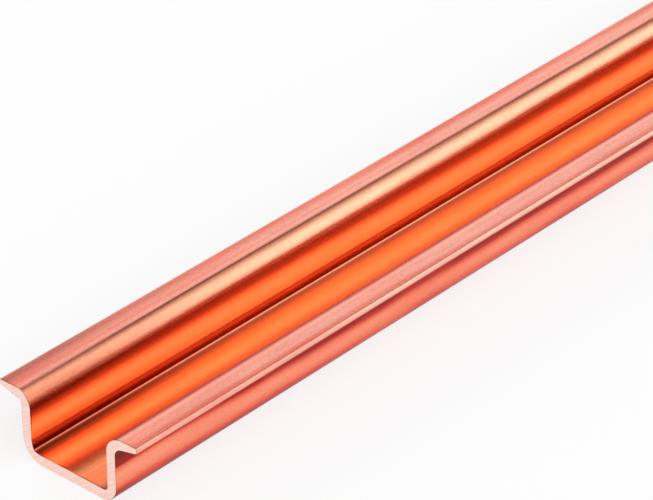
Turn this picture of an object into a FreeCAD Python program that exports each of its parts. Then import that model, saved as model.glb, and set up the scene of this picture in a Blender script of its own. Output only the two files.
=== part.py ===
import FreeCAD, Part
import math
import os

import Sketcher

# A hat-section mounting rail in bare copper, 35 mm wide and 15 mm deep.
#
# It is one length of drawn section with no holes. A flat web lies at the back,
# two walls stand on it, and each wall turns outwards into a flange that devices
# clip onto. The flanges thin towards their lips on the underside, so the clips
# of a device meet a lip about 1 mm thick although the walls are 2.3 mm.
#
# Millimetres. X runs across the rail, Y along it, Z from the web's back out to
# the flanges. The origin is on the web's back face, halfway along the rail.

# Every driving dimension, with what it measures on the rail.
SIZES = [
    ("rail_length", 1000.0, "stock length, cut square at both ends"),
    ("overall_width", 35.0, "over the two lips"),
    ("rail_depth", 15.0, "web's back to the flange tops"),
    ("channel_width", 24.0, "over the outside of the two walls"),
    ("thickness", 2.3, "of the web and the walls"),
    ("lip_thickness", 1.2, "of each flange at its lip"),
    ("flange_taper", 14.0, "degrees that each flange's underside rises to its lip"),
    ("lip_edge_radius", 0.3, "rounding of the long edges of the lips"),
    ("left_shoulder_radius", 2.9, "flange top into the channel, left"),
    ("right_shoulder_radius", 4.2, "flange top into the channel, right"),
    ("left_under_lip_radius", 1.0, "wall into the flange's underside, left"),
    ("right_under_lip_radius", 1.9, "wall into the flange's underside, right"),
    ("left_inner_corner_radius", 2.8, "wall into the web inside the channel, left"),
    ("right_inner_corner_radius", 1.0, "wall into the web inside the channel, right"),
    ("left_outer_corner_radius", 5.0, "wall into the web's back, left"),
    ("right_outer_corner_radius", 3.7, "wall into the web's back, right"),
]

# Ends of a line or an arc, and the sketch's own axes, as a sketch counts them.
START, END = 1, 2
X_AXIS, Y_AXIS = -1, -2

# Two places this close are the same place, and a size may be off by this much.
SAME_PLACE = 1e-6
SIZE_TOLERANCE = 0.001

PARTS_FOLDER = "parts"


def make_sheet(doc):
    """The driving dimensions: alias, number and meaning, one row each."""
    sheet = doc.addObject("Spreadsheet::Sheet", "sizes")
    for row, (alias, value, meaning) in enumerate(SIZES, start=1):
        sheet.set(f"A{row}", alias)
        sheet.set(f"B{row}", str(value))
        sheet.set(f"C{row}", meaning)
        sheet.setAlias(f"B{row}", alias)
    doc.recompute()
    return sheet


def section_corners(sheet):
    """The section's sharp corners, anticlockwise from the web's back at the right.

    Each row names the line that leaves the corner, gives the corner's place and
    the sheet's name for the radius that rounds it, or None where two lines meet.
    The left half mirrors the right one apart from its radii.
    """
    half_width = sheet.overall_width / 2
    wall_out = sheet.channel_width / 2
    wall_in = wall_out - sheet.thickness
    top = sheet.rail_depth
    lip_under = top - sheet.lip_thickness
    flange_reach = half_width - wall_out
    root_under = lip_under - flange_reach * math.tan(math.radians(sheet.flange_taper))
    web_top = sheet.thickness
    return [
        ("right_wall_outside", (wall_out, 0), "right_outer_corner_radius"),
        ("right_underside", (wall_out, root_under), "right_under_lip_radius"),
        ("right_lip", (half_width, lip_under), None),
        ("right_flange_top", (half_width, top), None),
        ("right_wall_inside", (wall_in, top), "right_shoulder_radius"),
        ("web_inside", (wall_in, web_top), "right_inner_corner_radius"),
        ("left_wall_inside", (-wall_in, web_top), "left_inner_corner_radius"),
        ("left_flange_top", (-wall_in, top), "left_shoulder_radius"),
        ("left_lip", (-half_width, top), None),
        ("left_underside", (-half_width, lip_under), None),
        ("left_wall_outside", (-wall_out, root_under), "left_under_lip_radius"),
        ("web_back", (-wall_out, 0), "left_outer_corner_radius"),
    ]


def unit_between(start, end):
    """The direction from one point to another, one millimetre long."""
    step = end - start
    return step.normalize()


def rounded_corner(before, corner, after, radius):
    """The arc that rounds a corner, where it touches both lines, and its turn.

    The arc's centre lies on the corner's bisector. It touches each line at
    radius times the tangent of half the turn, measured back from the corner.
    """
    arriving = unit_between(before, corner)
    leaving = unit_between(corner, after)
    turns_left = arriving.cross(leaving).z > 0
    cut_back = radius * math.tan(arriving.getAngle(leaving) / 2)
    first = corner - arriving * cut_back
    last = corner + leaving * cut_back
    side = 1 if turns_left else -1
    inward = FreeCAD.Vector(-arriving.y, arriving.x, 0) * side
    centre = first + inward * radius
    from_point, to_point = (first, last) if turns_left else (last, first)
    start_angle = math.atan2(from_point.y - centre.y, from_point.x - centre.x)
    end_angle = math.atan2(to_point.y - centre.y, to_point.x - centre.x)
    if end_angle < start_angle:
        end_angle += 2 * math.pi
    circle = Part.Circle(centre, FreeCAD.Vector(0, 0, 1), radius)
    return Part.ArcOfCircle(circle, start_angle, end_angle), first, last, turns_left


def draw_section(sketch, sheet):
    """Draws the section's lines and arcs, joined end to end in a closed loop.

    Returns the sketch's number for each line, by its name, and for each arc, by
    the name of its radius. Every arc meets both of its lines tangentially.
    """
    corners = section_corners(sheet)
    points = [FreeCAD.Vector(x, y, 0) for name, (x, y), radius in corners]
    count = len(corners)

    rounds = []
    for i, (name, place, radius_name) in enumerate(corners):
        if radius_name is None:
            rounds.append((None, points[i], points[i], True))
        else:
            radius = getattr(sheet, radius_name)
            rounds.append(rounded_corner(points[i - 1], points[i], points[(i + 1) % count], radius))

    lines = {}
    for i, (name, place, radius_name) in enumerate(corners):
        leaves = rounds[i][2]
        arrives = rounds[(i + 1) % count][1]
        lines[name] = sketch.addGeometry(Part.LineSegment(leaves, arrives), False)

    arcs = {}
    for i, (name, place, radius_name) in enumerate(corners):
        arriving_line = lines[corners[i - 1][0]]
        leaving_line = lines[name]
        arc, first, last, turns_left = rounds[i]
        if arc is None:
            sketch.addConstraint(
                Sketcher.Constraint("Coincident", arriving_line, END, leaving_line, START)
            )
            continue
        number = sketch.addGeometry(arc, False)
        arcs[radius_name] = number
        near, far = (START, END) if turns_left else (END, START)
        sketch.addConstraint(Sketcher.Constraint("Tangent", arriving_line, END, number, near))
        sketch.addConstraint(Sketcher.Constraint("Tangent", number, far, leaving_line, START))
    return lines, arcs


def bind(sketch, name, constraint, expression):
    """Adds a dimension to the sketch and ties it to the sheet."""
    index = sketch.addConstraint(constraint)
    sketch.renameConstraint(index, name)
    sketch.setExpression(f"Constraints.{name}", expression)


def constrain_section(sketch, sheet, lines, arcs):
    """Holds the section level and upright, and ties every size to the sheet."""
    for name in ("web_back", "web_inside", "right_flange_top", "left_flange_top"):
        sketch.addConstraint(Sketcher.Constraint("Horizontal", lines[name]))
    upright = ("right_wall_outside", "right_wall_inside", "right_lip")
    upright += ("left_wall_outside", "left_wall_inside")
    for name in upright:
        sketch.addConstraint(Sketcher.Constraint("Vertical", lines[name]))

    # The web's back lies on the X axis, and the lips mirror each other.
    web_back = lines["web_back"]
    right_lip = lines["right_lip"]
    left_lip = lines["left_lip"]
    sketch.addConstraint(Sketcher.Constraint("PointOnObject", web_back, START, X_AXIS))
    sketch.addConstraint(
        Sketcher.Constraint("Symmetric", right_lip, START, left_lip, END, Y_AXIS)
    )
    sketch.addConstraint(
        Sketcher.Constraint("Symmetric", right_lip, END, left_lip, START, Y_AXIS)
    )

    half_width = sheet.overall_width / 2
    wall_out = sheet.channel_width / 2
    bind(
        sketch, "lip_to_middle",
        Sketcher.Constraint("DistanceX", X_AXIS, START, right_lip, START, half_width),
        "sizes.overall_width / 2",
    )
    bind(
        sketch, "depth",
        Sketcher.Constraint("DistanceY", X_AXIS, START, right_lip, END, sheet.rail_depth),
        "sizes.rail_depth",
    )
    bind(
        sketch, "lip",
        Sketcher.Constraint("DistanceY", right_lip, START, right_lip, END, sheet.lip_thickness),
        "sizes.lip_thickness",
    )
    bind(
        sketch, "web",
        Sketcher.Constraint(
            "DistanceY", X_AXIS, START, lines["web_inside"], START, sheet.thickness
        ),
        "sizes.thickness",
    )

    # Each wall: its place from the middle, its thickness and its flange's taper.
    right_out = lines["right_wall_outside"]
    right_in = lines["right_wall_inside"]
    left_out = lines["left_wall_outside"]
    left_in = lines["left_wall_inside"]
    bind(
        sketch, "right_wall_to_middle",
        Sketcher.Constraint("DistanceX", X_AXIS, START, right_out, START, wall_out),
        "sizes.channel_width / 2",
    )
    bind(
        sketch, "left_wall_to_middle",
        Sketcher.Constraint("DistanceX", left_out, START, X_AXIS, START, wall_out),
        "sizes.channel_width / 2",
    )
    bind(
        sketch, "right_wall",
        Sketcher.Constraint("DistanceX", right_in, START, right_out, END, sheet.thickness),
        "sizes.thickness",
    )
    bind(
        sketch, "left_wall",
        Sketcher.Constraint("DistanceX", left_out, START, left_in, END, sheet.thickness),
        "sizes.thickness",
    )
    taper = math.radians(sheet.flange_taper)
    bind(
        sketch, "right_taper",
        Sketcher.Constraint("Angle", lines["right_underside"], taper),
        "sizes.flange_taper",
    )
    bind(
        sketch, "left_taper",
        Sketcher.Constraint("Angle", lines["left_underside"], -taper),
        "-sizes.flange_taper",
    )
    for radius_name, arc in arcs.items():
        bind(
            sketch, radius_name,
            Sketcher.Constraint("Radius", arc, getattr(sheet, radius_name)),
            f"sizes.{radius_name}",
        )


def origin_plane(body, role):
    """One of the body's own origin planes, found by its role."""
    for feature in body.Origin.OriginFeatures:
        if feature.Role == role:
            return feature
    raise RuntimeError(f"{body.Label} has no {role}")


def lip_edges(shape, sheet):
    """The names of the four long edges of the two lips."""
    half_width = sheet.overall_width / 2
    names = []
    for number, edge in enumerate(shape.Edges, start=1):
        box = edge.BoundBox
        along_rail = box.YLength > sheet.rail_length / 2
        at_the_side = abs(abs(box.XMin) - half_width) < SAME_PLACE
        on_a_lip = at_the_side and box.XLength < SAME_PLACE
        if along_rail and on_a_lip:
            names.append(f"Edge{number}")
    if len(names) != 4:
        raise RuntimeError(f"expected the 4 long edges of the lips, found {len(names)}")
    return names


def make_rail(doc, sheet):
    """The rail: its section drawn once, carried along the rail, lips eased."""
    body = doc.addObject("PartDesign::Body", "hat_rail")
    body.Label = "hat_rail"

    section = body.newObject("Sketcher::SketchObject", "section")
    section.AttachmentSupport = [(origin_plane(body, "XZ_Plane"), "")]
    section.MapMode = "FlatFace"
    doc.recompute()
    lines, arcs = draw_section(section, sheet)
    constrain_section(section, sheet, lines, arcs)
    doc.recompute()
    if section.solve() != 0 or not section.FullyConstrained:
        raise RuntimeError("the section isn't fully constrained")

    length = body.newObject("PartDesign::Pad", "drawn_length")
    length.Profile = section
    length.SideType = "Symmetric"
    length.setExpression("Length", "sizes.rail_length")
    doc.recompute()

    eased = body.newObject("PartDesign::Fillet", "eased_lips")
    eased.Base = (length, lip_edges(length.Shape, sheet))
    eased.setExpression("Radius", "sizes.lip_edge_radius")
    body.Tip = eased
    doc.recompute()

    body.Placement = FreeCAD.Placement()
    return body


def check_document(doc):
    """Stops on any object of the document that failed to compute."""
    for item in doc.Objects:
        if "Invalid" in item.State or "Error" in item.State:
            raise RuntimeError(f"{item.Label} failed: {item.State}")


def check_rail(body, sheet):
    """Stops unless the rail is one sound solid of the sizes in the sheet."""
    shape = body.Shape
    if shape.isNull() or not shape.isValid() or len(shape.Solids) != 1:
        raise RuntimeError(f"{body.Label} is not one valid solid")
    box = shape.BoundBox
    wanted = (sheet.overall_width, sheet.rail_length, sheet.rail_depth)
    for found, size in zip((box.XLength, box.YLength, box.ZLength), wanted):
        if abs(found - size) > SIZE_TOLERANCE:
            raise RuntimeError(f"{body.Label} measures {found} where {size} was asked")


def main():
    doc = FreeCAD.newDocument("din_rail")
    sheet = make_sheet(doc)
    rail = make_rail(doc, sheet)
    doc.recompute()
    check_document(doc)
    check_rail(rail, sheet)

    os.makedirs(PARTS_FOLDER, exist_ok=True)
    rail.Shape.exportStep(os.path.join(PARTS_FOLDER, f"{rail.Label}.step"))
    area = rail.Shape.Volume / sheet.rail_length
    print(f"{rail.Label}: {rail.Shape.Volume:.1f} mm3, section about {area:.2f} mm2")


main()
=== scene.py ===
# %% [markdown]
# # A copper hat rail, built and lit in Blender
# The subject is one straight length of solid copper rail, 35 mm wide and 15 mm deep, that
# control-panel devices and earth clamps clip onto. It is stock: one drawn section, sawn to length.
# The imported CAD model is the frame. This file gives that rail its fine shape, its finish and its
# light.

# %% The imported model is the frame
import math

import bpy
import numpy as np
from mathutils import Matrix, Vector


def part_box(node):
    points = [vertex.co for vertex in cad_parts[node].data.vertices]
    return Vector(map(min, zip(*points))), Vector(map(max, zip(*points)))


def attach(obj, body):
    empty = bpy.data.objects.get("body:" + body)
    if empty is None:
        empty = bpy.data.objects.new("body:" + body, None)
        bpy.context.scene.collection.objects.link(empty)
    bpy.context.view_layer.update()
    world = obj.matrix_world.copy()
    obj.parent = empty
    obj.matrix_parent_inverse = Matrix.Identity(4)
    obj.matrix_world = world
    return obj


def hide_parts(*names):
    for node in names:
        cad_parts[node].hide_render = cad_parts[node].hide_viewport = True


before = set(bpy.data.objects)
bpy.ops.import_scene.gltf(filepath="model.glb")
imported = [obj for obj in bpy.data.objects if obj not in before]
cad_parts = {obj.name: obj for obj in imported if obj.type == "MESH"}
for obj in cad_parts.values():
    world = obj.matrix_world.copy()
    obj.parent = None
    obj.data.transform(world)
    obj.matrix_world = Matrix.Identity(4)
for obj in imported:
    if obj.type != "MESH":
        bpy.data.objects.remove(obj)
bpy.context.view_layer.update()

# %% [markdown]
# ## Sizes
# The CAD node says how wide, deep and long the rail is. The sizes that a box can't tell, such as
# the thickness and the bend radii, are named here in millimetres. They are the section's own sizes,
# so the shown rail and the solid that MuJoCo uses agree to half a millimetre. The bends of the real
# rail aren't quite even: the left shoulder is tighter and the left lower corner rounder than their
# partners, and polished metal shows it, because a bend is a curved mirror.

# %% Sizes
MM = 0.001
LOW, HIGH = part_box("hat_rail")
WIDTH, LENGTH, DEPTH = HIGH - LOW
CHANNEL_WIDTH = 24 * MM
THICKNESS = 2.3 * MM
LIP_THICKNESS = 1.2 * MM
FLANGE_TAPER = math.radians(14)
LIP_EDGE_RADIUS = 0.3 * MM
CUT_EDGE_RADIUS = 0.1 * MM
# Radii, and how many degrees of the inner corner its two wide arcs take.
LEFT_BENDS = {
    "shoulder": 2.3 * MM, "settle": 4.45 * MM, "under_lip": 1.0 * MM, "outer": 5.0 * MM,
    "web_arc": 5.5 * MM, "web_sweep": 17, "wall_arc": 7.0 * MM, "wall_sweep": 20, "tight": 0.6 * MM,
}
RIGHT_BENDS = {
    "shoulder": 4.1 * MM, "settle": 4.0 * MM, "under_lip": 1.9 * MM, "outer": 3.7 * MM,
    "web_arc": 1.0 * MM, "web_sweep": 30, "wall_arc": 1.0 * MM, "wall_sweep": 30, "tight": 1.0 * MM,
}
print(f"rail {WIDTH / MM:.1f} x {DEPTH / MM:.1f} x {LENGTH / MM:.0f} mm")

# %% [markdown]
# ## The section, as two matched paths
# A drawn section could be a curve given thickness by a modifier, but this wall isn't even: the
# flange thins from the shoulder to the lip. So each half of the section is two paths with the same
# number of points, one along the face side and one along the back. Point number i on the face has a
# partner number i on the back, which later lets the sawn end close with tidy four-sided faces.
# Straight runs and bends are whole arrays: a bend is its centre plus its radius times the cosine
# and sine of evenly spaced angles.

# %% Straight runs and bends
def run(start, end, count):
    """Evenly spaced points from start to end, without the end: start plus a share of the way."""
    share = np.arange(count)[:, None] / count
    return np.array(start) + share * (np.array(end) - np.array(start))


def bend(centre, radius, first, last, count):
    """Points round a centre between two angles in degrees: centre plus radius times (cos, sin)."""
    angle = np.radians(first + (last - first) * np.arange(count) / count)
    return np.array(centre) + radius * np.stack([np.cos(angle), np.sin(angle)], axis=1)


# %% [markdown]
# Two bends are more than one arc. The inner corner lifts gently off the web, turns sharply and
# settles gently into the wall. The shoulder turns on one radius at the top and on another where it
# meets the wall. A spline could pass through measured points, but arcs that touch keep the mirror
# images in the copper free of ripples.

# %% The two bends made of several arcs
def dished_corner(bends, wall_x, web_z, count):
    """
    Concave corner from web to wall: an arc that lifts off the web through its sweep, a tight arc
    through most of the right angle, and an arc that settles into the wall. An arc of radius r from
    heading a to heading b goes r (sin b - sin a) across and r (cos a - cos b) up, and the sums say
    where the corner starts.
    """
    radii = np.array([bends["web_arc"], bends["tight"], bends["wall_arc"]])
    headings = np.array([0, bends["web_sweep"], 90 - bends["wall_sweep"], 90])
    sines, cosines = np.sin(np.radians(headings)), np.cos(np.radians(headings))
    steps = np.stack([radii * np.diff(sines), -radii * np.diff(cosines)], axis=1)
    start = np.array([wall_x, web_z]) - [steps[:, 0].sum(), 0]
    joins = start + np.vstack([[0, 0], np.cumsum(steps, axis=0)])
    arcs = []
    for radius, join, first, last in zip(radii, joins, headings, headings[1:]):
        leftward = np.array([-math.sin(math.radians(first)), math.cos(math.radians(first))])
        arcs.append(bend(join + radius * leftward, radius, first - 90, last - 90, count // 3))
    return np.concatenate(arcs), joins[0, 0], joins[-1, 1]


def settled_shoulder(wall_x, top_z, over, settle, count):
    """
    Convex bend from the wall to the flange's top: 45 degrees at the settling radius, then 45 at the
    shoulder's. Each arc rises its radius times sqrt(1/2) or one minus that, and the two centres lie
    on one line at 45 degrees, apart by the difference of the radii.
    """
    half_turn = math.sqrt(0.5)
    low = np.array([wall_x + settle, top_z - over * (1 - half_turn) - settle * half_turn])
    high = low + (settle - over) * np.array([-half_turn, half_turn])
    first = bend(low, settle, 180, 135, count // 2)
    last = bend(high, over, 135, 90, count - count // 2)
    return np.concatenate([first, last]), low, high


# %% [markdown]
# The right half goes from the middle of the web to the middle of the lip's edge. The face goes
# along the web, up round the inner corner, up the wall, over the shoulder and out along the
# flange's top. The back goes along the web's back, round the outer corner, up the wall, round under
# the flange and out along its rising underside. The left half is the same function with its own
# bends, mirrored.

# %% One half of the section
COUNTS = {"web": 14, "corner": 36, "wall": 12, "shoulder": 30, "flange": 14, "lip": 6}
LIP_MIDDLE_GAP = 0.05 * MM


def face_side(bends, wall_in, half):
    """The half section's visible side: straight runs joined by the corner, shoulder and lip bends."""
    edge = LIP_EDGE_RADIUS
    mid_lip = DEPTH - LIP_THICKNESS / 2
    corner, web_end, wall_start = dished_corner(bends, wall_in, THICKNESS, COUNTS["corner"])
    shoulder, low, high = settled_shoulder(
        wall_in, DEPTH, bends["shoulder"], bends["settle"], COUNTS["shoulder"])
    return np.concatenate([
        run((0, THICKNESS), (web_end, THICKNESS), COUNTS["web"]),
        corner,
        run((wall_in, wall_start), (wall_in, low[1]), COUNTS["wall"]),
        shoulder,
        run((high[0], DEPTH), (half - edge, DEPTH), COUNTS["flange"]),
        bend((half - edge, DEPTH - edge), edge, 90, 0, COUNTS["lip"]),
        [(half, DEPTH - edge), (half, mid_lip + LIP_MIDDLE_GAP)],
    ])


def back_side(bends, wall_out, half):
    """
    The half section's back. The underside rises at the taper angle and ends at the lip's lower edge.
    The small bend under the flange touches the wall and that slope, and the lip's lower bend touches
    the slope and the lip's edge. Where each starts follows from the tangent of the taper.
    """
    edge = LIP_EDGE_RADIUS
    outer = bends["outer"]
    under = bends["under_lip"]
    mid_lip = DEPTH - LIP_THICKNESS / 2
    lip_low = DEPTH - LIP_THICKNESS
    rise = math.tan(FLANGE_TAPER)
    taper = math.degrees(FLANGE_TAPER)
    outward = np.array([math.sin(FLANGE_TAPER), -math.cos(FLANGE_TAPER)])
    edge_centre = np.array([half - edge, lip_low - edge * rise + edge / math.cos(FLANGE_TAPER)])
    slope_end = edge_centre + edge * outward
    touch_x = wall_out + under - under * outward[0]
    touch = np.array([touch_x, lip_low + (touch_x - half) * rise])
    under_centre = np.array([wall_out + under, touch[1] + under * outward[1]])
    return np.concatenate([
        run((0, 0), (wall_out - outer, 0), COUNTS["web"]),
        bend((wall_out - outer, outer), outer, -90, 0, COUNTS["corner"]),
        run((wall_out, outer), (wall_out, under_centre[1]), COUNTS["wall"]),
        bend(under_centre, under, 180, 90 + taper, COUNTS["shoulder"]),
        run(touch, slope_end, COUNTS["flange"]),
        bend(edge_centre, edge, taper - 90, 0, COUNTS["lip"]),
        [(half, edge_centre[1]), (half, mid_lip - LIP_MIDDLE_GAP)],
    ])


def half_section(bends):
    """Face and back paths of one half, in metres, as two arrays of (across, up) with equal counts."""
    wall_out = CHANNEL_WIDTH / 2
    half = WIDTH / 2
    return face_side(bends, wall_out - THICKNESS, half), back_side(bends, wall_out, half)


right_face, right_back = half_section(RIGHT_BENDS)
left_face, left_back = half_section(LEFT_BENDS)
mirror = np.array([-1.0, 1.0])
face_path = np.concatenate([(left_face * mirror)[::-1], right_face[1:]])
back_path = np.concatenate([(left_back * mirror)[::-1], right_back[1:]])
print(len(face_path), "points along the face, and as many along the back")

# %% [markdown]
# ## Sweeping the section along the rail
# The closed outline is carried along the rail's length. A saw leaves an edge that is broken with a
# file, so at each end the outline first shrinks inwards by the edge's radius, as a quarter circle:
# a row at angle a is inset by the radius times one minus sin a, and set in along the rail by the
# radius times one minus cos a. A bevel modifier could do this too, but it would also need its
# weights along some 450 edges at each end.

# %% The closed outline and its inward direction
outline = np.concatenate([face_path, back_path[::-1]])


def inward_normals(loop):
    """Unit vectors into the metal: the loop's tangent at each point turned by a right angle."""
    tangent = np.roll(loop, -1, axis=0) - np.roll(loop, 1, axis=0)
    tangent /= np.linalg.norm(tangent, axis=1, keepdims=True)
    return np.stack([tangent[:, 1], -tangent[:, 0]], axis=1)


inward = inward_normals(outline)
EDGE_STEPS = 4
edge_angle = np.radians(np.linspace(0, 90, EDGE_STEPS + 1))
end_inset = CUT_EDGE_RADIUS * (1 - np.sin(edge_angle))
end_along = CUT_EDGE_RADIUS * (1 - np.cos(edge_angle))
print("edge rows, mm:", np.round(np.stack([end_inset, end_along], 1) / MM, 3).tolist())

# %% [markdown]
# Between the broken edges the rows are closer near the ends, where the painted shade changes most:
# row number k of n lies at the share k / n, raised to a power, of the way to the middle. Rows and
# outline points make a grid, so the four corners of every face are one whole-array sum.

# %% The swept grid
HALF_ROWS = 40
ROW_CROWDING = 2.0
inner_start = LOW.y + CUT_EDGE_RADIUS
to_middle = LENGTH / 2 - CUT_EDGE_RADIUS
near_half = inner_start + to_middle * (np.arange(1, HALF_ROWS + 1) / HALF_ROWS) ** ROW_CROWDING
middle = np.concatenate([near_half, -near_half[-2::-1]])
row_y = np.concatenate([LOW.y + end_along, middle, HIGH.y - end_along[::-1]])
row_inset = np.concatenate([end_inset, np.zeros(len(middle)), end_inset[::-1]])


def swept_points(loop, into, places, inset):
    """Grid of points: each row is the loop moved inwards by that row's inset, at its place along Y."""
    flat = loop[None] + inset[:, None, None] * into[None]
    y = np.broadcast_to(places[:, None], flat.shape[:2])
    return np.stack([flat[..., 0], y, flat[..., 1]], axis=-1)


def wall_faces(rows, columns):
    """Corner numbers of the four-sided faces between rows. The last column joins the first."""
    here = np.arange(columns)
    beside = (here + 1) % columns
    base = np.arange(rows - 1)[:, None] * columns
    next_base = base + columns
    corners = np.stack([base + here, next_base + here, next_base + beside, base + beside], axis=-1)
    return corners.reshape(-1, 4)


def cap_faces(columns, first, flip):
    """Strip of four-sided faces that closes an end: points i, i + 1 and their partners on the back."""
    i = np.arange(columns // 2 - 1)
    partner = columns - 1 - i
    corners = np.stack([i, i + 1, partner - 1, partner], axis=-1) + first
    return corners[:, ::-1] if flip else corners


points = swept_points(outline, inward, row_y, row_inset)
ROWS, COLUMNS = points.shape[:2]
walls = wall_faces(ROWS, COLUMNS)
near_cap = cap_faces(COLUMNS, 0, flip=False)
far_cap = cap_faces(COLUMNS, (ROWS - 1) * COLUMNS, flip=True)
print(ROWS, "rows of", COLUMNS, "points;", len(walls) + len(near_cap) + len(far_cap), "faces")

# %% The mesh
all_faces = np.concatenate([walls, near_cap, far_cap])
is_cap = np.arange(len(all_faces)) >= len(walls)
mesh = bpy.data.meshes.new("drawn_rail")
mesh.from_pydata(points.reshape(-1, 3), [], all_faces.tolist())
mesh.polygons.foreach_set("use_smooth", ~is_cap)
mesh.polygons.foreach_set("material_index", is_cap.astype(np.int32))
mesh.update()
rail = bpy.data.objects.new("drawn_rail", mesh)
bpy.context.scene.collection.objects.link(rail)
following = np.roll(outline, -1, axis=0)
area = 0.5 * abs(np.sum(outline[:, 0] * following[:, 1] - following[:, 0] * outline[:, 1]))
print(f"section {area / MM**2:.2f} mm2, so {area * LENGTH * 1e6:.1f} cm3")

# %% [markdown]
# ## How the surface was treated, and where light and shade are painted, point by point
# Wear could be painted by hand or masked with noise. Here it follows the section, as it does on a
# real rail, so seven numbers at every point of the mesh say how the metal was treated and where
# painted light and shade lie, and the material reads them as attributes:
# - `roughness`: the die polishes the channel most, and rubbing dulls the shoulders;
# - `satin`: 1 on the outside and the flange tops, which come out duller than the channel;
# - `flange_top`: 1 on the flange tops alone, scuffed pale where lengths are stacked;
# - `pale`: the lighter metal of the shoulders, and painted highlights: a glint line in each inner
#   corner and pale strips along the web;
# - `rim`: a painted highlight, the bright line along the right lip;
# - `tarnish_and_shade`: the oxide that turns copper rose, cherry and maroon, and painted shade in those
#   tints under the shoulders and flanges, in the inner corners and towards the cuts;
# - `shade_and_grime`: a dark brown tint, mostly painted shade under the shoulders and flanges, in the
#   inner corners, along the bends' dark lines and towards the cuts, and a little dirt.
#
# All places are in millimetres of the section: how far across, and how high above the web's back.

# %% Places on the section
across = points[..., 0] / MM
height = points[..., 2] / MM
from_near_end = (points[..., 1] - LOW.y) / MM
on_face = np.broadcast_to(np.arange(COLUMNS) < len(face_path), across.shape)
INNER_WALL = (CHANNEL_WIDTH / 2 - THICKNESS) / MM
OUTER_WALL = CHANNEL_WIDTH / 2 / MM
WEB = THICKNESS / MM
TOP = DEPTH / MM
LIP = WIDTH / 2 / MM


def fade(distance, reach):
    """0 before a line and 1 past it: the share of the reach, squared, times three less twice itself."""
    share = np.clip(distance / reach, 0, 1)
    return share * share * (3 - 2 * share)


def bump(distance, reach):
    """Soft bump, 1 at its middle: e to the minus square of distance over reach."""
    return np.exp(-(distance / reach) ** 2)


def line_bump(x, z, reach):
    """Bump on the face side round a line along the rail, by the straight distance in the section."""
    return on_face * bump(np.hypot(across - x, height - z), reach)


print("places: web", WEB, "inner wall", round(INNER_WALL, 2), "lip", round(LIP, 2))

# %% [markdown]
# The copper is painted darker towards the cut ends, as painted shade where the light falls off
# there. A value that changes towards them is written as a pair: at the cuts, and away from them.

# %% Near the cuts and away from them
AT_THE_CUT = 40.0
near_cut = bump(from_near_end, AT_THE_CUT) + bump(LENGTH / MM - from_near_end, AT_THE_CUT)


def along(value):
    """A pair runs from its first value at the cuts to its second away from them. A number stays."""
    at_cut, away = np.broadcast_to(value, 2)
    return away + (at_cut - away) * near_cut


print(f"cut ends: {near_cut.max():.2f} at the cuts, {near_cut.min():.2f} in the middle")

# %% Polish and scuffing
SATIN_FROM_LEFT, SATIN_FROM_RIGHT, SATIN_FADE = (11.85, 12.45), 12.4, 0.35
SHOULDER_STARTS, SHOULDER_FADE = 10.7, 2.3
RUBBING_STARTS, RUBBING_FADE = 8.6, 4.4
POLISHED, DULL_CORNER, RUBBED, SATIN = 0.11, 0.15, 0.28, 0.35
SCRAPE_X, SCRAPE_REACH, SCRAPED = 5.5, 4.0, 0.03
left_of_shoulder = -along(SATIN_FROM_LEFT) - across
right_of_shoulder = across - SATIN_FROM_RIGHT
beyond_shoulder = np.where(across < 0, left_of_shoulder, right_of_shoulder)
flange_top = np.where(on_face, fade(beyond_shoulder, SATIN_FADE), 0.0)
satin = np.where(on_face, flange_top, 1.0)
shoulder = on_face * fade(height - SHOULDER_STARTS, SHOULDER_FADE)
rubbing = on_face * fade(height - RUBBING_STARTS, RUBBING_FADE)
roughness = POLISHED + (RUBBED - POLISHED) * rubbing
roughness += SCRAPED * line_bump(SCRAPE_X, WEB, SCRAPE_REACH)
roughness += (SATIN - roughness) * satin

# The rim is a painted highlight: a paler strip along the upper part of the right lip's edge.
RIM_WIDTH, RIM_DEPTH, RIM_FADE = 0.35, 0.95, 0.3
rim = fade(across - (LIP - RIM_WIDTH), RIM_WIDTH) * fade(height - (TOP - RIM_DEPTH), RIM_FADE)
print(f"roughness from {roughness.min():.2f} to {roughness.max():.2f}")

# %% [markdown]
# Each of these is a soft bump of oxide tint, of dark brown tint or of both, round a line along the
# rail. About thirty of them give each strip of the section its own tone. Most are painted shade:
# under the shoulders and flanges, in the inner corners, along the bends' dark lines and towards the
# cuts. A few are real oxide and dirt. They could be strokes on a painted mask, but that needs an
# image, and a formula at each point of the mesh doesn't.

# %% Stains and painted shade
STAIN_FADE = 0.9
tarnish_and_shade = np.zeros(across.shape)
shade_and_grime = np.zeros(across.shape)


def stain_and_shade(side, x, z, reach, deep=0, shade_and_dirt=0, below=math.inf):
    """
    Adds a bump of oxide tint, as deep as given, and of dark brown tint, by the amount given, round
    the line at (x, z): e to the minus square of the distance over the reach. It fades out below a
    height. Both tints are painted shade in most places, and real oxide and dirt in a few.
    """
    on_side = on_face if side == "face" else ~on_face
    distance = np.hypot(across - along(x), height - along(z))
    shape = on_side * bump(distance, along(reach)) * fade(below - height, STAIN_FADE)
    tarnish_and_shade[:] += along(deep) * shape
    shade_and_grime[:] += along(shade_and_dirt) * shape


# %% Painted shade under the shoulders and under the flanges
SHOULDER_SHADE_TOP = 12.5
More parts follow.
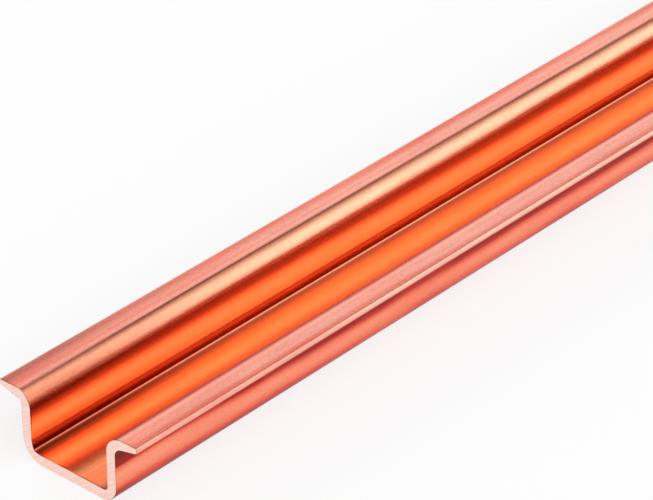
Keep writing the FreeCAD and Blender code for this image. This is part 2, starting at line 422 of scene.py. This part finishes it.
# All of these are painted shade: a dark band high on each inner wall under its shoulder, maroon on each
# outer wall under its flange and on the flange's underside, a darker outer bend at the foot, and a
# contact shade line where the rail meets the floor.
for side in (-1, 1):
    inner, outer = side * INNER_WALL, side * OUTER_WALL
    stain_and_shade("face", inner, 11.2, 1.35, shade_and_dirt=(0.76, 0.66), below=SHOULDER_SHADE_TOP)
    stain_and_shade("face", inner, 10.4, 1.2, deep=(0.4, 0.44), below=SHOULDER_SHADE_TOP)
    stain_and_shade("back", outer, (9.3, 8.0), (1.3, 1.65), deep=1.0)
    stain_and_shade("back", outer, 10.2, 1.6, deep=(0.5, 0.7))
    stain_and_shade("back", outer, (2.0, 1.6), 2.2, deep=(0.95, 0.85))
    stain_and_shade("back", side * 11.2, 0.5, 1.0, deep=0.7, shade_and_dirt=0.2)
    stain_and_shade("back", side * 13.0, 12.5, (2.2, 1.5), deep=(1.0, 0.6), shade_and_dirt=(0.9, 0.3))

# %% The left flange and shoulder
# The flange has a tarnished outer strip, a dark line along its lip's edge and a thin line. The dark
# line beside the shoulder is a painted reflection, where the bend starts to mirror a dark part of the
# room, and the flange and shoulder are painted darker near the cuts, as painted shade.
stain_and_shade("face", -16.6, TOP, 1.3, deep=(0.16, 0.4), shade_and_dirt=(0.5, 0.08))
stain_and_shade("face", -LIP, TOP - 0.2, 0.3, shade_and_dirt=0.6)
stain_and_shade("face", -14.6, TOP, 1.6, deep=(0.3, 0.0), shade_and_dirt=(0.1, 0.0))
stain_and_shade("face", -13.9, TOP, 0.28, deep=(0.1, 0.2))
stain_and_shade("face", (-11.8, -12.4), TOP, (0.22, 0.42), deep=0.15, shade_and_dirt=(0.4, 0.46))
stain_and_shade("face", -10.1, 13.3, 1.9, deep=(0.16, 0.0), shade_and_dirt=(0.56, 0.0))

# %% The right flange, its shoulder's edge and the lip
# The outer strip is tarnished. The rest is painted shade: the flange and lip darker towards the cuts, a
# dark line along the shoulder's edge where it turns out of view, and darker metal below the lip's bright
# rim.
stain_and_shade("face", 16.8, TOP, 0.8, deep=0.36, shade_and_dirt=0.08)
stain_and_shade("face", 14.5, TOP, 2.0, deep=(0.18, 0.0))
stain_and_shade("face", 12.15, 14.6, 0.85, deep=0.8, shade_and_dirt=0.68)
stain_and_shade("face", LIP, TOP - 0.4, 0.5, deep=(0.25, 0.0))
stain_and_shade("back", LIP, TOP - 1.1, 0.4, deep=0.1, shade_and_dirt=0.1)

# %% The web and the foot of the left wall
# The web is painted darker near the cuts and towards the left corner, and the foot of the left wall
# darker towards the corner, as painted shade. The web's right side is scraped and reddened.
stain_and_shade("face", -7.4, 2.4, 1.8, deep=(0.25, 0.1), shade_and_dirt=(0.35, 0.0))
stain_and_shade("face", -INNER_WALL, 5.4, 0.9, deep=0.15)
stain_and_shade("face", -1.9, WEB, 1.2, deep=(0.1, 0.0), shade_and_dirt=(0.12, 0.0))
stain_and_shade("face", SCRAPE_X, WEB, SCRAPE_REACH, deep=(0.32, 0.2))
print(f"stained so far: tarnish {tarnish_and_shade.mean():.2f}, grime {shade_and_grime.mean():.2f} on average")

# %% [markdown]
# Each inner corner is duller, and painted dark and pinker round its crease as painted shade, apart
# from one line on its web side, a painted glint that stays pale. The filed edge of each cut is
# painted a little darker too, as painted shade. The numbers then go into the mesh as attributes,
# one per point.

# %% Corners, painted glints and the attributes
# The corner's darkening is painted shade, and the glint line is a painted highlight.
CORNER_REACH, CORNER_DEPTH, CORNER_SHADE, CORNER_PALE = 1.5, (0.25, 0.05), (0.86, 0.56), 0.5
GLINT_X, GLINT_Z, GLINT_REACH, GLINT_TINT = 9.1, 2.67, 0.35, 0.14
GLINT_UNSHADED = 0.6
CUT_EDGE_SHADE = 0.4
# Painted highlights along the web: how far across, the reach, and how pale.
WEB_HIGHLIGHTS = ((-3.9, 1.3, 0.6), (-1.2, 0.8, 1.0))
pale = shoulder.copy()
for x, reach, how_pale in WEB_HIGHLIGHTS:
    pale += how_pale * line_bump(x, WEB, reach)
for side in (-1, 1):
    from_corner = np.hypot(across - side * INNER_WALL, height - WEB)
    from_vertex = from_corner - from_corner[0, :len(face_path)].min()
    corner_bump = on_face * bump(from_vertex, CORNER_REACH)
    glint_line = line_bump(side * GLINT_X, GLINT_Z, GLINT_REACH)
    corner_shade = corner_bump * (1 - GLINT_UNSHADED * glint_line)
    tarnish_and_shade += along(CORNER_DEPTH) * corner_shade + GLINT_TINT * glint_line
    shade_and_grime += along(CORNER_SHADE) * corner_shade
    pale += glint_line + CORNER_PALE * corner_shade
    roughness += (DULL_CORNER - POLISHED) * corner_bump
shade_and_grime[row_inset > 0] += CUT_EDGE_SHADE
finish_and_light = {
    "satin": satin,
    "flange_top": flange_top,
    "pale": np.clip(pale, 0, 1),
    "rim": rim,
    "roughness": roughness,
    "tarnish_and_shade": np.clip(tarnish_and_shade, 0, 1),
    "shade_and_grime": np.clip(shade_and_grime, 0, 1),
}
for name, value in finish_and_light.items():
    attribute = mesh.attributes.new(name, "FLOAT", "POINT")
    attribute.data.foreach_set("value", value.astype(np.float32).ravel())
    print(f"{name}: mean {value.mean():.2f}, highest {value.max():.2f}")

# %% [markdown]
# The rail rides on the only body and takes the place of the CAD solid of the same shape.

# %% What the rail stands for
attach(rail, "root")
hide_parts("hat_rail")

# %% [markdown]
# ## Colours and nodes
# Colours are written as the sRGB hex that a colour picker shows, and one function turns them to the
# linear values that shaders need. One more function adds a node, sets it and links its inputs, so
# a material reads from top to bottom like a recipe.

# %% Colour and node helpers
def linear(code):
    """Linear RGBA of an sRGB hex code: below 0.04045 a division by 12.92, above it a power of 2.4."""
    srgb = np.array([int(code[i:i + 2], 16) for i in (1, 3, 5)]) / 255
    value = np.where(srgb <= 0.04045, srgb / 12.92, ((srgb + 0.055) / 1.055) ** 2.4)
    return (*value.tolist(), 1.0)


def add(tree, kind, settings=None, **inputs):
    """Adds a node, sets its properties, and fills or links its inputs: i0 is input number 0."""
    node = tree.nodes.new(kind)
    for name, value in (settings or {}).items():
        setattr(node, name, value)
    for name, value in inputs.items():
        by_number = name[1:].isdigit()
        socket = node.inputs[int(name[1:])] if by_number else node.inputs[name.replace("_", " ")]
        if isinstance(value, bpy.types.NodeSocket):
            tree.links.new(value, socket)
        else:
            socket.default_value = value
    return node


def fresh_tree(owner):
    """Empties the node tree of a material or world and returns it."""
    owner.use_nodes = True
    owner.node_tree.nodes.clear()
    return owner.node_tree


def set_stops(node, stops):
    """Gives a colour ramp its stops: a position from 0 to 1, and a colour."""
    elements = node.color_ramp.elements
    for index, (position, colour) in enumerate(stops):
        element = elements[index] if index < 2 else elements.new(position)
        element.position = position
        element.color = colour


print("middle grey, #808080, as a shader needs it:", np.round(linear("#808080"), 3))

# %% [markdown]
# ## Bright drawn copper
# The section is pulled through dies, which polishes the metal and leaves fine lines along it. To the
# eye that is a warm mirror whose gloss is smeared across the lines, so the shader is metallic, with
# its anisotropy turned across the rail. A photograph of brushed metal could be wrapped round it,
# but four noises, stretched along the rail, do the same at any length.
#
# Real draw lines and grain are a few hundredths of a millimetre wide, and a pixel of this view is
# about 0.3 mm. So both are drawn 0.3 to 0.45 mm wide, the finest that shows.

# %% Marks in the metal
# Each mark's width across the rail, its length along it, and how many finer layers it holds.
DRAW_LINES = (0.45 * MM, 45 * MM, 2)
SCUFFS = (0.8 * MM, 9 * MM, 3)
PATCHES = (3 * MM, 22 * MM, 3)
GRAIN = (0.3 * MM, 1.0 * MM, 1)
DRAW_LINE_HEIGHT, GRAIN_HEIGHT = 0.0012 * MM, 0.0008 * MM


def stretched_marks(tree, place, kinds):
    """One noise for each kind of mark, on places divided by the mark's width and length."""
    noises = []
    for width, length, detail in kinds:
        scaled = add(tree, "ShaderNodeMapping", Vector=place, Scale=(1 / width, 1 / length, 1 / width))
        noise = add(tree, "ShaderNodeTexNoise", Vector=scaled.outputs[0], Scale=1.0, Detail=detail)
        noises.append(noise.outputs[0])
    return noises


# %% [markdown]
# Clean copper is one metal, yet the polished channel looks orange and the rubbed parts look paler
# and pinker, because fine scratches and a thin film of oxide scatter more light of every colour.
# Each kind of surface gets its own shade, and the attributes say where one gives way to the next.
# The pale shade also carries painted highlights, the corners' glint lines and strips along the web,
# and the rim's shade is a painted highlight along the right lip.

# %% Clean copper, by how it was rubbed, with painted highlights
CHANNEL_COPPER = "#F8A16E"
SHOULDER_COPPER = "#F6A686"
OUTSIDE_COPPER = "#FD9C7C"
FLANGE_COPPER = "#FDAC98"
# The rim's colour is a painted highlight.
RIM_HIGHLIGHT_COPPER = "#FFCDBA"


def clean_copper(tree, wear_and_light):
    """The channel's shade, mixed in turn with those of the pale parts, outside, flange tops and rim."""
    colour = linear(CHANNEL_COPPER)
    for name, code in (
        ("pale", SHOULDER_COPPER),
        ("satin", OUTSIDE_COPPER),
        ("flange_top", FLANGE_COPPER),
        ("rim", RIM_HIGHLIGHT_COPPER),
    ):
        mixed = add(tree, "ShaderNodeMix", {"data_type": "RGBA"},
                    i0=wear_and_light[name], i6=colour, i7=linear(code))
        colour = mixed.outputs[2]
    return colour


# %% [markdown]
# Copper tarnishes through rose and cherry to maroon as its oxide thickens, so a ramp of those tints
# is multiplied with the metal. The polished channel keeps a warmer, thinner film than the outside.
# Patches and scuffs make the film uneven, less so in the channel. The same ramps also carry
# painted shade: the maroon under the flanges and the dark red under the shoulders and in the
# corners.

# %% Tarnish and painted shade
OUTSIDE_TARNISH_AND_SHADE = [(0.0, "#FFFFFF"), (0.45, "#F3BBB0"), (0.75, "#D8777F"), (1.0, "#9E4A4E")]
CHANNEL_TARNISH_AND_SHADE = [(0.0, "#FFFFFF"), (0.3, "#FFCDBE"), (0.7, "#E18B63"), (1.0, "#B36144")]
PATCHINESS, STREAKINESS = 0.6, 0.5
UNEVEN_IN_CHANNEL, UNEVEN_OUTSIDE = 0.25, 0.8


def tarnish_and_shade_tint(tree, wear_and_light, patches, scuffs):
    """Two ramps read at the oxide-and-shade value plus centred noises, mixed by how satin the place is.
    """
    patchy = add(tree, "ShaderNodeMath", {"operation": "MULTIPLY_ADD"},
                 i0=patches, i1=PATCHINESS, i2=-PATCHINESS / 2)
    streaky = add(tree, "ShaderNodeMath", {"operation": "MULTIPLY_ADD"},
                  i0=scuffs, i1=STREAKINESS, i2=-STREAKINESS / 2)
    uneven = add(tree, "ShaderNodeMath", {"operation": "ADD"},
                 i0=patchy.outputs[0], i1=streaky.outputs[0])
    spread = add(tree, "ShaderNodeMapRange", i0=wear_and_light["satin"], i3=UNEVEN_IN_CHANNEL, i4=UNEVEN_OUTSIDE)
    varied = add(tree, "ShaderNodeMath", {"operation": "MULTIPLY_ADD"},
                 i0=uneven.outputs[0], i1=spread.outputs[0], i2=wear_and_light["tarnish_and_shade"])
    tints = []
    for stops in (CHANNEL_TARNISH_AND_SHADE, OUTSIDE_TARNISH_AND_SHADE):
        ramp = add(tree, "ShaderNodeValToRGB", Fac=varied.outputs[0])
        set_stops(ramp, [(position, linear(code)) for position, code in stops])
        tints.append(ramp.outputs[0])
    tint = add(tree, "ShaderNodeMix", {"data_type": "RGBA"}, i0=wear_and_light["satin"], i6=tints[0], i7=tints[1])
    return tint.outputs[2]


# %% [markdown]
# Last come the flecks, which show on the matt places, and a dark brown tint, mostly painted shade
# and partly dirt. The draw lines vary the roughness and, with the grain, are a very low relief.

# %% Drawn copper
# The brown tint of painted shade and of a little dirt.
SHADE_AND_GRIME_TINT = "#6B5F57"
FLECKS_IN_CHANNEL, FLECKS_WHERE_MATT, FLECK_LEVEL = 0.26, 0.45, 0.98
LEAST_WEAR, WEAR_RANGE = 0.7, 0.6
GLOSS_SPREAD = 0.6
RAIL_DIRECTION = (0, 1, 0)


def drawn_copper():
    """Metallic copper with draw lines, scuffs, oxide and painted shade and highlights; gloss spreads
    across lines.
    """
    material = bpy.data.materials.new("bright_drawn_copper")
    tree = fresh_tree(material)
    place = add(tree, "ShaderNodeTexCoord").outputs["Object"]
    wear_and_light = {
        name: add(tree, "ShaderNodeAttribute", {"attribute_name": name}).outputs["Fac"]
        for name in finish_and_light
    }
    lines, scuffs, patches, grain = stretched_marks(
        tree, place, (DRAW_LINES, SCUFFS, PATCHES, GRAIN))

    # The oxide ramps and the brown tint carry painted shade as well as real oxide and dirt.
    tinted = add(tree, "ShaderNodeMix", {"data_type": "RGBA", "blend_type": "MULTIPLY"}, i0=1.0,
                    i6=clean_copper(tree, wear_and_light), i7=tarnish_and_shade_tint(tree, wear_and_light, patches, scuffs))
    darkened = add(tree, "ShaderNodeMix", {"data_type": "RGBA", "blend_type": "MULTIPLY"},
                 i0=wear_and_light["shade_and_grime"], i6=tinted.outputs[2], i7=linear(SHADE_AND_GRIME_TINT))
    matt = add(tree, "ShaderNodeMath", {"operation": "MAXIMUM"}, i0=wear_and_light["flange_top"], i1=wear_and_light["pale"])
    contrast = add(tree, "ShaderNodeMapRange",
                   i0=matt.outputs[0], i3=FLECKS_IN_CHANNEL, i4=FLECKS_WHERE_MATT)
    flecks = add(tree, "ShaderNodeMath", {"operation": "ADD"}, i0=grain, i1=scuffs)
    flecks = add(tree, "ShaderNodeMath", {"operation": "SUBTRACT"}, i0=flecks.outputs[0], i1=1.0)
    shade = add(tree, "ShaderNodeMath", {"operation": "MULTIPLY_ADD"},
                i0=flecks.outputs[0], i1=contrast.outputs[0], i2=FLECK_LEVEL)
    colour = add(tree, "ShaderNodeMix", {"data_type": "RGBA", "blend_type": "MULTIPLY"}, i0=1.0,
                 i6=darkened.outputs[2], i7=shade.outputs[0])

    wear = add(tree, "ShaderNodeMath", {"operation": "MULTIPLY_ADD"},
               i0=lines, i1=WEAR_RANGE, i2=LEAST_WEAR)
    rough = add(tree, "ShaderNodeMath", {"operation": "MULTIPLY"},
                i0=wear.outputs[0], i1=wear_and_light["roughness"])
    normal = add(tree, "ShaderNodeNewGeometry").outputs["Normal"]
    sideways = add(tree, "ShaderNodeVectorMath", {"operation": "CROSS_PRODUCT"},
                   i0=normal, i1=RAIL_DIRECTION)
    relief = add(tree, "ShaderNodeBump", Distance=DRAW_LINE_HEIGHT, Height=lines)
    relief = add(tree, "ShaderNodeBump", Distance=GRAIN_HEIGHT, Height=grain, Normal=relief.outputs[0])
    shader = add(tree, "ShaderNodeBsdfPrincipled", Base_Color=colour.outputs[2], Metallic=1.0,
                 Roughness=rough.outputs[0], Anisotropic=GLOSS_SPREAD, Tangent=sideways.outputs[0],
                 Normal=relief.outputs[0])
    add(tree, "ShaderNodeOutputMaterial", Surface=shader.outputs[0])
    print(material.name, "has", len(tree.nodes), "nodes")
    return material


# %% [markdown]
# ## Sawn copper
# The ends are bare metal cut by a saw: paler than the drawn skin, matt, and crossed at a slant by
# the marks of its teeth. Real geometry for marks a few thousandths of a millimetre high would be
# wasted, so one noise, turned and stretched along the marks, gives both the tone and the relief.

# %% Sawn copper
SAWN_LOW, SAWN_HIGH = "#F6CDC1", "#FFE0D6"
SAW_MARK_GAP, SAW_MARK_LENGTH, SAW_MARK_HEIGHT = 0.35 * MM, 5 * MM, 0.0025 * MM
SAW_MARK_DETAIL = 2
SAW_ANGLE = math.radians(35)
SAWN_ROUGHNESS = 0.5
DARKEST_AT, PALEST_AT = 0.3, 0.7


def sawn_copper():
    """The sawn end: paler and rougher than the drawn skin, with marks where the teeth crossed it."""
    material = bpy.data.materials.new("sawn_copper")
    tree = fresh_tree(material)
    place = add(tree, "ShaderNodeTexCoord").outputs["Object"]
    tilted = add(tree, "ShaderNodeMapping", Vector=place, Rotation=(0, SAW_ANGLE, 0))
    scaled = add(tree, "ShaderNodeMapping", Vector=tilted.outputs[0],
                 Scale=(1 / SAW_MARK_LENGTH, 1 / SAW_MARK_LENGTH, 1 / SAW_MARK_GAP))
    marks = add(tree, "ShaderNodeTexNoise",
                Vector=scaled.outputs[0], Scale=1.0, Detail=SAW_MARK_DETAIL).outputs[0]
    shown = add(tree, "ShaderNodeMapRange", i0=marks, i1=DARKEST_AT, i2=PALEST_AT)
    colour = add(tree, "ShaderNodeMix", {"data_type": "RGBA"}, i0=shown.outputs[0],
                 i6=linear(SAWN_LOW), i7=linear(SAWN_HIGH))
    relief = add(tree, "ShaderNodeBump", Distance=SAW_MARK_HEIGHT, Height=marks)
    shader = add(tree, "ShaderNodeBsdfPrincipled", Base_Color=colour.outputs[2], Metallic=1.0,
                 Roughness=SAWN_ROUGHNESS, Normal=relief.outputs[0])
    add(tree, "ShaderNodeOutputMaterial", Surface=shader.outputs[0])
    print(material.name, "has", len(tree.nodes), "nodes")
    return material


mesh.materials.append(drawn_copper())
mesh.materials.append(sawn_copper())

# %% [markdown]
# ## Floor
# The rail lies on a wide sheet of white card, whose far edge is out of sight. Lit by the soft light
# alone, card isn't quite white, least of all near the rail. More light would wash out the copper,
# so the camera, and the rays that the copper mirrors, see the card as three quarters pure white.
# The last quarter is the lit card, which keeps the rail's soft shadow.

# %% Floor
FLOOR_HALF = 20.0
CARD = "#F2F2F2"
SEEN_WHITE = 0.75


def floor_material():
    """Matt white card that camera and mirror rays see a little brighter than it is lit."""
    material = bpy.data.materials.new("white_card")
    tree = fresh_tree(material)
    card = add(tree, "ShaderNodeBsdfDiffuse", Color=linear(CARD))
    path = add(tree, "ShaderNodeLightPath")
    seen = add(tree, "ShaderNodeMath", {"operation": "MAXIMUM"},
               i0=path.outputs["Is Camera Ray"], i1=path.outputs["Is Glossy Ray"])
    seen = add(tree, "ShaderNodeMath", {"operation": "MAXIMUM"},
               i0=seen.outputs[0], i1=path.outputs["Is Transmission Ray"])
    part = add(tree, "ShaderNodeMath", {"operation": "MULTIPLY"}, i0=seen.outputs[0], i1=SEEN_WHITE)
    white = add(tree, "ShaderNodeEmission", Color=(1, 1, 1, 1), Strength=1.0)
    mixed = add(tree, "ShaderNodeMixShader",
                Fac=part.outputs[0], i1=card.outputs[0], i2=white.outputs[0])
    add(tree, "ShaderNodeOutputMaterial", Surface=mixed.outputs[0])
    return material


floor_mesh = bpy.data.meshes.new("floor")
corners = FLOOR_HALF * np.array([(-1, -1), (1, -1), (1, 1), (-1, 1)])
floor_mesh.from_pydata([(x, y, LOW.z) for x, y in corners], [], [(0, 1, 2, 3)])
floor = bpy.data.objects.new("floor", floor_mesh)
floor_mesh.materials.append(floor_material())
bpy.context.scene.collection.objects.link(floor)
print(f"floor {2 * FLOOR_HALF:.0f} m square, under the web's flat back")

# %% [markdown]
# ## Studio
# A long mirror shows the whole room, so the light is the room itself: a soft sky whose level
# depends only on the angle round the rail, from straight right (0 degrees) over the top (90) to
# straight left (180), and on under the floor. Lamps could do it, but each would add a hard streak
# along the polished metal. The sky is bright on both sides and dark between them, as between two
# soft boxes, and the dark strip gives the polished bends their contrast. The angle is the arc
# tangent of Z over X, and a colour ramp holds the levels, scaled down by the highest because its
# colours end at 1.
#
# How bright a flat matt card would be is half the sum of each level times the sine of its angle
# times the step between angles, over the half turn above the floor. At 1 it has its own colour.

# %% Studio
# Angle round the rail in degrees, and the level there.
SKY = [
    (-180, 1.0), (-6, 1.9), (0, 2.0), (24, 2.04), (36, 2.1), (48, 1.92), (60, 1.4),
    (72, 0.95), (84, 0.79), (96, 0.59), (108, 0.3), (120, 0.17), (127, 0.25), (133, 0.88),
    (138, 1.5), (145, 1.7), (155, 1.7), (165, 1.7), (180, 1.8),
]
SKY_PEAK = 2.1
world = bpy.data.worlds.new("studio")
bpy.context.scene.world = world
tree = fresh_tree(world)
way = add(tree, "ShaderNodeTexCoord").outputs["Generated"]
parts = add(tree, "ShaderNodeSeparateXYZ", Vector=way)
round_rail = add(tree, "ShaderNodeMath", {"operation": "ARCTAN2"},
                 i0=parts.outputs["Z"], i1=parts.outputs["X"])
share = add(tree, "ShaderNodeMapRange",
            i0=round_rail.outputs[0], i1=-math.pi, i2=math.pi, i3=0.0, i4=1.0)
stops = [((angle + 180) / 360, (level / SKY_PEAK,) * 3 + (1,)) for angle, level in SKY]
levels = add(tree, "ShaderNodeValToRGB", Fac=share.outputs[0])
set_stops(levels, stops)
glow = add(tree, "ShaderNodeBackground", Color=levels.outputs[0], Strength=SKY_PEAK)
add(tree, "ShaderNodeOutputWorld", Surface=glow.outputs[0])
above_floor = np.arange(0.5, 180)
angles, sky_levels = np.array(SKY).T
level = np.interp(above_floor, angles, sky_levels)
on_card = 0.5 * np.sum(level * np.sin(np.radians(above_floor))) * math.radians(1)
print(f"sky level {level.min():.2f} to {level.max():.2f}, and {on_card:.2f} on a flat card")

# %% [markdown]
# ## Camera
# The photograph's viewpoint was found by fitting a perspective camera to the rail's cut end and long
# edges: about a metre away, from the near right and above, with a long lens. An empty to track
# would hide its angles, so the camera's own axes are worked out from them and set as a matrix.

# %% Camera
AZIMUTH, ELEVATION, ROLL = (math.radians(v) for v in (41.338, 31.463, -0.046))
EYE = Vector((0.39847, -0.88153, 0.38608))
LENS, SENSOR_WIDTH = 201.04, 36.0
NEAREST_SHOWN = 0.01
right = Vector((math.cos(AZIMUTH), math.sin(AZIMUTH), 0))
back = Vector((math.sin(AZIMUTH) * math.cos(ELEVATION), -math.cos(AZIMUTH) * math.cos(ELEVATION),
               math.sin(ELEVATION)))
up = back.cross(right)
rolled_right = right * math.cos(ROLL) + up * math.sin(ROLL)
rolled_up = up * math.cos(ROLL) - right * math.sin(ROLL)
turned = Matrix((rolled_right, rolled_up, back)).transposed().to_4x4()
camera = bpy.data.objects.new("camera", bpy.data.cameras.new("camera"))
camera.data.sensor_width = SENSOR_WIDTH
camera.data.lens = LENS
camera.data.clip_start = NEAREST_SHOWN
camera.matrix_world = Matrix.Translation(EYE) @ turned
bpy.context.scene.collection.objects.link(camera)
bpy.context.scene.camera = camera
print(f"camera {EYE.length:.3f} m from the middle of the rail")

# %% [markdown]
# ## Output settings
# The Standard view shows colours as they were written.

# %% Output settings
bpy.context.scene.view_settings.view_transform = "Standard"
